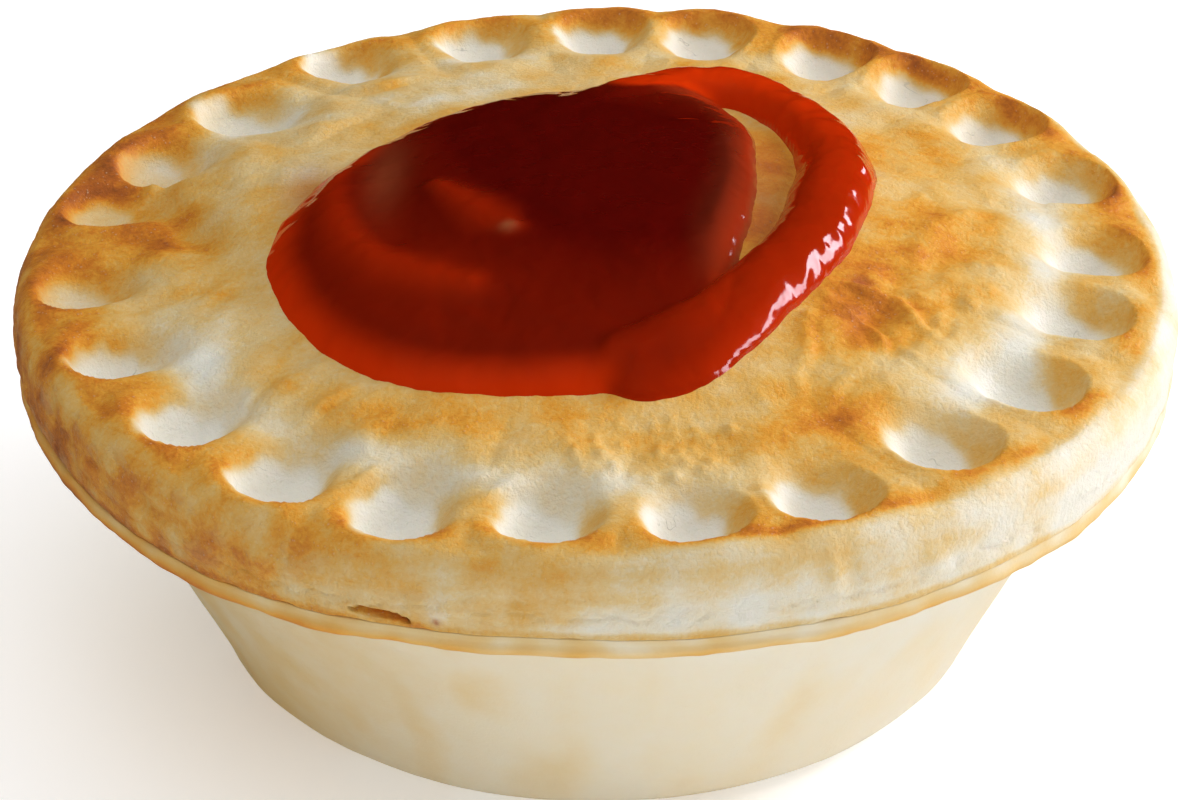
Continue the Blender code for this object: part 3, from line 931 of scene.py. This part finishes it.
def lid_browning_and_shading(spot, radius, azimuth, nearest, shade):
    """How brown the crust is, from 0 pale to 1 burnt, with painted shade in the creases beside wrinkles and
    on the band's left, and painted light on the band's right.
    """
    wide = ripple(spot, 13.0 * MM, 21.0)
    small = ripple(spot, 4.0 * MM, 22.0)
    # The crease beside each wrinkle is painted a little darker: painted shade
    dome = 0.37 + 0.13 * wide + 0.12 * small + 0.05 * shade
    for middle_x, middle_y, size, change in PATCHES:
        dome += change * hump(spot.x, spot.y, middle_x, middle_y, size, size)
    dome -= around(PALE_RING, azimuth) * bell(radius, 46.8 * MM, 3.0 * MM)
    ridge = around(RIDGE_BROWNING, azimuth) + 0.12 * small
    for middle, distance, half, width, change in CREST_SPOTS:
        turn = (math.degrees(azimuth) - middle + 180.0) % 360.0 - 180.0
        if abs(turn) < 3.0 * half:
            ridge += change * bell(turn, 0.0, half) * bell(radius / MM, distance, width) * (1.0 + small)
    ridge += 0.16 * bell(nearest, 1.08, 0.20) * smooth_step(53.0 * MM, 57.0 * MM, radius)
    ridge_share = smooth_step(48.5 * MM, 53.5 * MM, radius) * smooth_step(0.45, 0.85, nearest)
    side = smooth_step(57.4 * MM, 58.8 * MM, radius + 0.5 * MM * small)
    top = dome + (ridge - dome) * ridge_share
    down = smooth_step(CREST_HEIGHT - 1.0 * MM, CREST_HEIGHT - 6.0 * MM, spot.z)
    strata = stretched(spot, 0.35, 2.6)
    falls = stretched(spot, 1.0, 0.4)
    # Round the rim the band is partly browned and partly painted: darker on the left with painted shade,
    # paler on the right with painted light
    band = around(BAND_BROWNING_AND_SHADING, azimuth)
    edge = around(RIDGE_BROWNING, azimuth)
    if band > edge:
        band = edge + (band - edge) * smooth_step(0.3 * MM, 4.0 * MM, CREST_HEIGHT - spot.z)
    else:
        band += (1.0 - down) * 0.12
    band += 0.12 * small + 0.08 * wide + 0.10 * ripple(strata, 4.0 * MM, 24.0)
    rough = around(BAND_FLAKES, azimuth)
    band += 0.16 * ripple(falls, 2.4 * MM, 25.0) * min(1.0, 0.3 + rough)
    band += 0.24 * (0.5 - band_layers(spot)) * rough
    band += 0.20 * smooth_step(7.0 * MM, 8.0 * MM, CREST_HEIGHT - spot.z)
    return top + (min(0.72, band) - top) * side


def band_skin(spot, radius, azimuth, drop):
    """How far in mm the side band's flaky layers, folds, cracks and seam stand out here."""
    rough = around(BAND_FLAKES, azimuth)
    flat = stretched(spot, 0.55, 1.6)
    skin = 0.22 * ripple(spot, 6.0 * MM, 33.0) + 0.10 * ripple(spot, 1.6 * MM, 34.0) * (0.4 + rough)
    skin += 0.50 * rough * (band_layers(spot) - 0.5)
    skin += 0.14 * (ledges(flat, 5.0 * MM, 39.0, 4) - 0.5) + band_fold(azimuth, drop)
    cracks = stretched(spot, 1.0, 2.2)
    skin -= 0.30 * bell(drop, 6.3, 1.3) * bell(ripple(cracks, 3.4 * MM, 41.0), 0.0, 0.09)
    near_seam = smooth_step(5.6, 7.2, drop)
    skin += (seam_skin(azimuth) - skin) * near_seam
    if drop > SEAM_DROP:
        skin += (SEAM_RADIUS - radius / MM) * seam_shut(azimuth)
    return skin


def lid_stain_and_shade(spot, radius, azimuth, drop):
    """Sauce and juice soaked into the crust beside the pool and by the tear, and painted shade on the crust
    in the gap inside the loop.
    """
    smear = bell(spot.x, -30.0 * MM, 3.0 * MM) * bell(spot.y, 6.5 * MM, 5.0 * MM)
    # The crust in the gap between the pool and the loop is darkened with painted shade
    gap = bell(spot.x, 17.3 * MM, 3.2 * MM) * bell(spot.y, 1.0 * MM, 15.0 * MM)
    burnt = bell(spot.x, 26.4 * MM, 0.9 * MM) * bell(spot.y, -13.6 * MM, 1.2 * MM)
    juice_turn = (math.degrees(azimuth) + 104.4) * 1.05
    drip = bell(math.hypot(juice_turn, drop - 7.1), 0.0, 0.4) if radius > 58.0 * MM else 0.0
    return min(1.0, 0.55 * smear + 0.68 * gap + 0.9 * drip + burnt)


def build_lid():
    shape = turned(lid_profile(), TURN_STEPS)
    browning_and_shading = shape.verts.layers.float.new("browning_and_shading")
    flour = shape.verts.layers.float.new("flour")
    stain_and_shade = shape.verts.layers.float.new("stain_and_shade")
    flaky = shape.verts.layers.float.new("flaky")
    bottom = CREST_HEIGHT - BAND_HEIGHT
    for vertex in shape.verts:
        point = vertex.co
        spot = point.copy()
        radius = math.hypot(spot.x, spot.y)
        azimuth = math.atan2(spot.y, spot.x)
        if spot.z < bottom + 0.01 * MM and radius < 58.0 * MM:
            continue  # the flat underside stays as turned
        drop = (CREST_HEIGHT - spot.z) / MM
        upper = smooth_step(bottom, CREST_HEIGHT - 0.3 * MM, spot.z)
        depth, nearest, pale = press_reach(spot.x, spot.y)
        rise = relief(spot.x, spot.y, depth, nearest)
        wrinkle, shade = wrinkle_rise(spot.x, spot.y)
        point.z += upper * rise + (1.0 - upper) * lip_wave(spot.x, spot.y)
        top = smooth_step(CREST_HEIGHT - 1.0 * MM, CREST_HEIGHT, spot.z)
        point.z += top * (skin_rise(spot.x, spot.y, nearest) + wrinkle)
        torn = tear_share(azimuth, drop) if radius > 58.0 * MM else -1.0
        if radius > 57.0 * MM:
            push_out(point, (1.0 - top) * band_skin(spot, radius, azimuth, drop) * MM)
            if torn > 0.0:
                push_out(point, -TEAR_DEPTH * smooth_step(0.0, 0.55, torn))
        widen(point)
        on_top = smooth_step(CREST_HEIGHT - 1.0 * MM, CREST_HEIGHT - 0.2 * MM, spot.z)
        brown = lid_browning_and_shading(spot, radius, azimuth, nearest, shade)
        if torn > -1.0:
            brown += 0.34 * smooth_step(-0.6, 0.5, torn)
        vertex[browning_and_shading] = min(1.0, max(0.0, brown))
        ragged = pale + 0.16 * ripple(spot, 2.2 * MM, 40.0)
        powder = on_top * around(PRESS_FLOUR, azimuth) * (1.0 - smooth_step(0.62, 1.16, ragged))
        vertex[browning_and_shading] *= 1.0 - 0.7 * smooth_step(0.0, 0.7, powder)
        vertex[flour] = 0.9 * smooth_step(0.1, 1.0, powder)
        side = (1.0 - top) * smooth_step(57.0 * MM, 59.0 * MM, radius)
        vertex[flaky] = side * around(BAND_FLAKES, azimuth) * 0.5
        vertex[stain_and_shade] = lid_stain_and_shade(spot, radius, azimuth, drop)
    material = crust_material("lid_crust", 0.58, 0.40, LID_GRAIN_HEIGHT, True)
    finish_piece("baked_lid", shape, material, "pastry_lid")


build_lid()

# Tomato sauce
# Thick bottled sauce squeezed onto the hot lid: a round pool that has spread and settled, and a
# last poured loop that runs round its right side and over its front, with crust left between.

# The pool's middle, its reach every 30 degrees round from the right, its thickness and how far in
# its edge rises are in mm; the loop's height is a share of its half width.
POOL_MIDDLE = (-5.0, -3.0)
POOL_REACHES = (20.7, 25.0, 34.0, 30.6, 26.6, 25.2, 27.8, 29.5, 31.3, 30.6, 29.5, 21.8)
POOL_THICKNESS = 2.3
POOL_EDGE = 1.9
LOOP_HEIGHT = 0.72
LOWEST_DEPTH = -1.2
CUT_DEPTH = -0.7
SUNK_UNDERSIDE = 1.1 * MM
THIN_SAUCE_COLOUR = (0.64, 0.032, 0.001)
DEEP_SAUCE_COLOUR = (0.085, 0.002, 0.0008)
# Colour of a thin film of sauce over the crust, also used for a painted sheen on the pool's left
FILM_AND_SHEEN_COLOUR = (0.32, 0.085, 0.03)
SAUCE_LUMP_SCALE = 420.0
SAUCE_LUMP_HEIGHT = 0.36 * MM

# The poured loop from the back round the right side to the front: x, y and half width in mm
LOOP_PATH = (
    (-4.0, 18.0, 2.0),
    (2.0, 25.0, 3.2),
    (7.5, 29.5, 4.2),
    (13.0, 30.8, 4.6),
    (17.6, 28.6, 4.3),
    (21.8, 23.0, 4.2),
    (24.4, 16.0, 4.3),
    (24.9, 8.5, 4.3),
    (23.6, 0.8, 4.2),
    (21.7, -6.4, 4.1),
    (18.8, -12.8, 4.1),
    (15.2, -18.8, 4.2),
    (11.6, -24.2, 4.4),
    (7.6, -28.2, 4.8),
    (4.2, -30.2, 4.4),
)

# Low folds where the first sauce has run into itself: height, and a path of x, y and half width, in mm
FOLDS = (
    (0.55, ((-27.5, 7, 1.6), (-27.5, 0, 2.2), (-25.5, -8, 2.6), (-21, -15, 2.8), (-13, -19.5, 2.2))),
    (0.60, ((-16.5, -0.5, 1.6), (-13.3, -4.6, 2.6), (-10.6, -7.6, 2.8), (-8.8, -9.6, 1.6))),
    (-0.45, ((-22.5, 9.0, 2.0), (-21.0, 0.0, 3.6), (-19.0, -8.0, 3.0))),
    (0.30, ((13.0, 14.0, 1.2), (13.8, 6.0, 1.4), (13.0, -4.0, 1.4), (10.0, -12.0, 1.4))),
)
GRID_HALF = 37.0
GRID_STEP = 0.3


def near_path(path, x, y):
    """Distance from a path in mm, the half width there, and the share of the way along it."""
    best = (999.0, 1.0, 0.0)
    count = len(path) - 1
    for number in range(count):
        start_x, start_y, start_wide = path[number]
        end_x, end_y, end_wide = path[number + 1]
        run_x = end_x - start_x
        run_y = end_y - start_y
        share = ((x - start_x) * run_x + (y - start_y) * run_y) / (run_x * run_x + run_y * run_y)
        share = min(1.0, max(0.0, share))
        away_x = x - start_x - share * run_x
        away_y = y - start_y - share * run_y
        away = math.hypot(away_x, away_y)
        if away < best[0]:
            wide = start_wide + share * (end_wide - start_wide)
            best = (away, wide, (number + share) / count)
    return best


def curved_path(path, steps):
    """The path with points added between its own, on a smooth curve through them."""
    full = []
    for number in range(len(path) - 1):
        before = path[max(0, number - 1)]
        start = path[number]
        end = path[number + 1]
        after = path[min(len(path) - 1, number + 2)]
        for step in range(steps):
            near = zip(before, start, end, after)
            full.append(tuple(curve_between(*values, step / steps) for values in near))
    full.append(tuple(path[-1]))
    return tuple(full)


smooth_loop = curved_path(LOOP_PATH, 3)
smooth_folds = tuple((high, curved_path(path, 3)) for high, path in FOLDS)


def sauce_depth(x, y):
    """Thickness of the sauce in mm, below 0 outside it, and what it is made up of here.

    After the thickness come the pool's and the loop's own, how far inside the pool's edge this is,
    the height of the folds, and the share of the way along the loop.
    """
    away_x = x - POOL_MIDDLE[0]
    away_y = y - POOL_MIDDLE[1]
    spread = math.hypot(away_x, away_y)
    azimuth = math.atan2(away_y, away_x)
    spot = (x * MM, y * MM, 0.0)
    inward = around(POOL_REACHES, azimuth) - spread + 0.35 * ripple(spot, 5.0 * MM, 51.0)
    inward += 0.12 * ripple(spot, 1.5 * MM, 52.0)
    edge = POOL_EDGE - 0.8 * smooth_step(4.0, 10.0, x) * bell(y, -7.0, 8.0)
    if inward > 0:
        pool = POOL_THICKNESS * (1.0 - math.exp(-inward / edge))
    else:
        pool = max(inward * POOL_THICKNESS / edge, LOWEST_DEPTH)
    folds = 0.0
    if inward > 1.0:
        for high, path in smooth_folds:
            away, wide, _ = near_path(path, x, y)
            folds += high * math.exp(-((away / wide) ** 2))
        folds *= smooth_step(1.0, 3.0, inward)
    pool += folds
    away, wide, share = near_path(smooth_loop, x, y)
    lumpy = smooth_step(0.25, 0.5, share)
    wide += 0.30 * ripple(spot, 5.0 * MM, 53.0) + 0.10 * lumpy * ripple(spot, 2.2 * MM, 54.0)
    inner = wide - away
    fullness = LOOP_HEIGHT * wide * smooth_step(0.0, 0.12, share)
    fullness *= 1.0 - 0.35 * smooth_step(0.75, 1.0, share)
    if inner > 0:
        loop = fullness * (1.0 - (away / wide) ** 2.6)
        loop += 0.25 * max(0.0, pool) * smooth_step(0.0, 1.5, inner)
    else:
        loop = max(1.9 * inner, LOWEST_DEPTH)
    blend = 0.5 + 2.5 * smooth_step(0.34, 0.14, share) + 2.5 * smooth_step(0.80, 1.0, share)
    high = max(pool, loop)
    low = min(pool, loop)
    depth = high + 0.25 * blend * max(0.0, 1.0 - (high - low) / blend) ** 2
    return depth, pool, loop, inward, folds, share


def lid_surface(x, y):
    """Height of the lid's upper side, as the sauce meets it."""
    depth, nearest, _ = press_reach(x, y)
    rise = relief(x, y, depth, nearest) + skin_rise(x, y, nearest) + wrinkle_rise(x, y)[0]
    return dome_height(math.hypot(x, y)) + rise


def sauce_material():
    """Wet tomato sauce: bright and orange where it is thin, dark red where it is deep, and glossy; the thin
    film's colour also paints a sheen on the pool.
    """
    material, nodes, links, shader = new_material("wet_sauce")
    deep = add_attribute(nodes, "deep")
    colour = mix_colours(nodes, links, deep, THIN_SAUCE_COLOUR, DEEP_SAUCE_COLOUR)
    # The thin mask also carries a painted sheen
    thin = add_attribute(nodes, "thin")
    colour = mix_colours(nodes, links, thin, colour, FILM_AND_SHEEN_COLOUR)
    links.new(colour, shader.inputs["Base Color"])
    place = nodes.new("ShaderNodeTexCoord").outputs["Object"]
    lumps = add_noise(nodes, links, place, SAUCE_LUMP_SCALE, 1.0, 0.5)
    lumps = add_maths(nodes, links, "MULTIPLY", lumps, add_attribute(nodes, "sparkle"))
    finish_surface(nodes, links, shader, 0.10, 0.2, (1.0, 0.10, 0.03), lumps, 0.6, SAUCE_LUMP_HEIGHT)
    return material


def build_sauce():
    count = int(2 * GRID_HALF / GRID_STEP)
    shape = bmesh.new()
    bmesh.ops.create_grid(shape, x_segments=count, y_segments=count, size=GRID_HALF)
    deep_layer = shape.verts.layers.float.new("deep")
    film_and_sheen_layer = shape.verts.layers.float.new("thin")
    sparkle_layer = shape.verts.layers.float.new("sparkle")
    floor_layer = shape.verts.layers.float.new("floor")
    hidden = []
    for vertex in shape.verts:
        x = vertex.co.x
        y = vertex.co.y
        depth, pool, loop, inward, folds, share = sauce_depth(x, y)
        if depth < CUT_DEPTH:
            hidden.append(vertex)
            continue
        floor = lid_surface(x * MM, y * MM)
        vertex.co = (x * MM, y * MM, floor + depth * MM)
        vertex[floor_layer] = floor
        end = smooth_step(0.72, 1.0, share)
        over = smooth_step(-0.3 - 1.2 * end, 0.5 + 1.2 * end, loop - pool)
        dark = 0.86 + 0.26 * bell(math.hypot(x - 2.0, (y - 2.0) * 0.9), 0.0, 16.0)
        dark += 0.15 * bell(math.hypot(x + 8.0, y - 14.0), 0.0, 9.0)
        dark -= 0.45 * max(0.0, folds) * smooth_step(8.0, 2.0, x)
        dark -= 0.05 * bell(math.hypot((x + 20.0) * 0.8, y + 22.0), 0.0, 12.0)
        right = smooth_step(4.0, 10.0, x) * smooth_step(-22.0, -14.0, y)
        dark *= 1.0 - (1.0 - 0.55 * right) * smooth_step(4.2, -0.5, inward)
        crown = smooth_step(0.4, 2.6, loop)
        ring = 0.10 + 0.48 * smooth_step(0.22, 0.70, share) * (0.55 + 0.45 * crown)
        ring += 0.18 * smooth_step(0.80, 1.0, share)
        dark = dark + (ring - dark) * over
        vertex[deep_layer] = min(1.0, max(0.0, dark))
        rim = smooth_step(1.4, 0.1, depth) * right
        tip = 0.85 * bell(math.hypot(x + 8.9, y + 10.0), 0.0, 0.8)
        # A painted sheen: a long pale streak of reflection painted onto the pool's left
        along, across = along_and_across(x * MM, y * MM, -21.7, 4.6, 88.0)
        sheen = 0.34 * bell(math.hypot(along / 8.0, across / 2.1), 0.0, 1.0)
        veil = 0.16 * smooth_step(7.0, 1.0, inward) * right
        vertex[film_and_sheen_layer] = max(0.6 * rim, veil, sheen) * (1.0 - over) + tip
        outside = smooth_step(-0.2, 0.6, loop) * smooth_step(3.0, 2.2, loop) * over
        inner_rim = 0.3 * smooth_step(3.5, 1.0, inward) * right * bell(y, -7.0, 6.0)
        vertex[sparkle_layer] = outside + inner_rim * (1.0 - over)
    bmesh.ops.delete(shape, geom=hidden, context="VERTS")
    made = bmesh.ops.extrude_face_region(shape, geom=list(shape.faces), use_keep_orig=True)
    for element in made["geom"]:
        if isinstance(element, bmesh.types.BMVert):
            element.co.z = element[floor_layer] - SUNK_UNDERSIDE
    bmesh.ops.recalc_face_normals(shape, faces=shape.faces)
    finish_piece("poured_sauce", shape, sauce_material(), "tomato_sauce")


build_sauce()
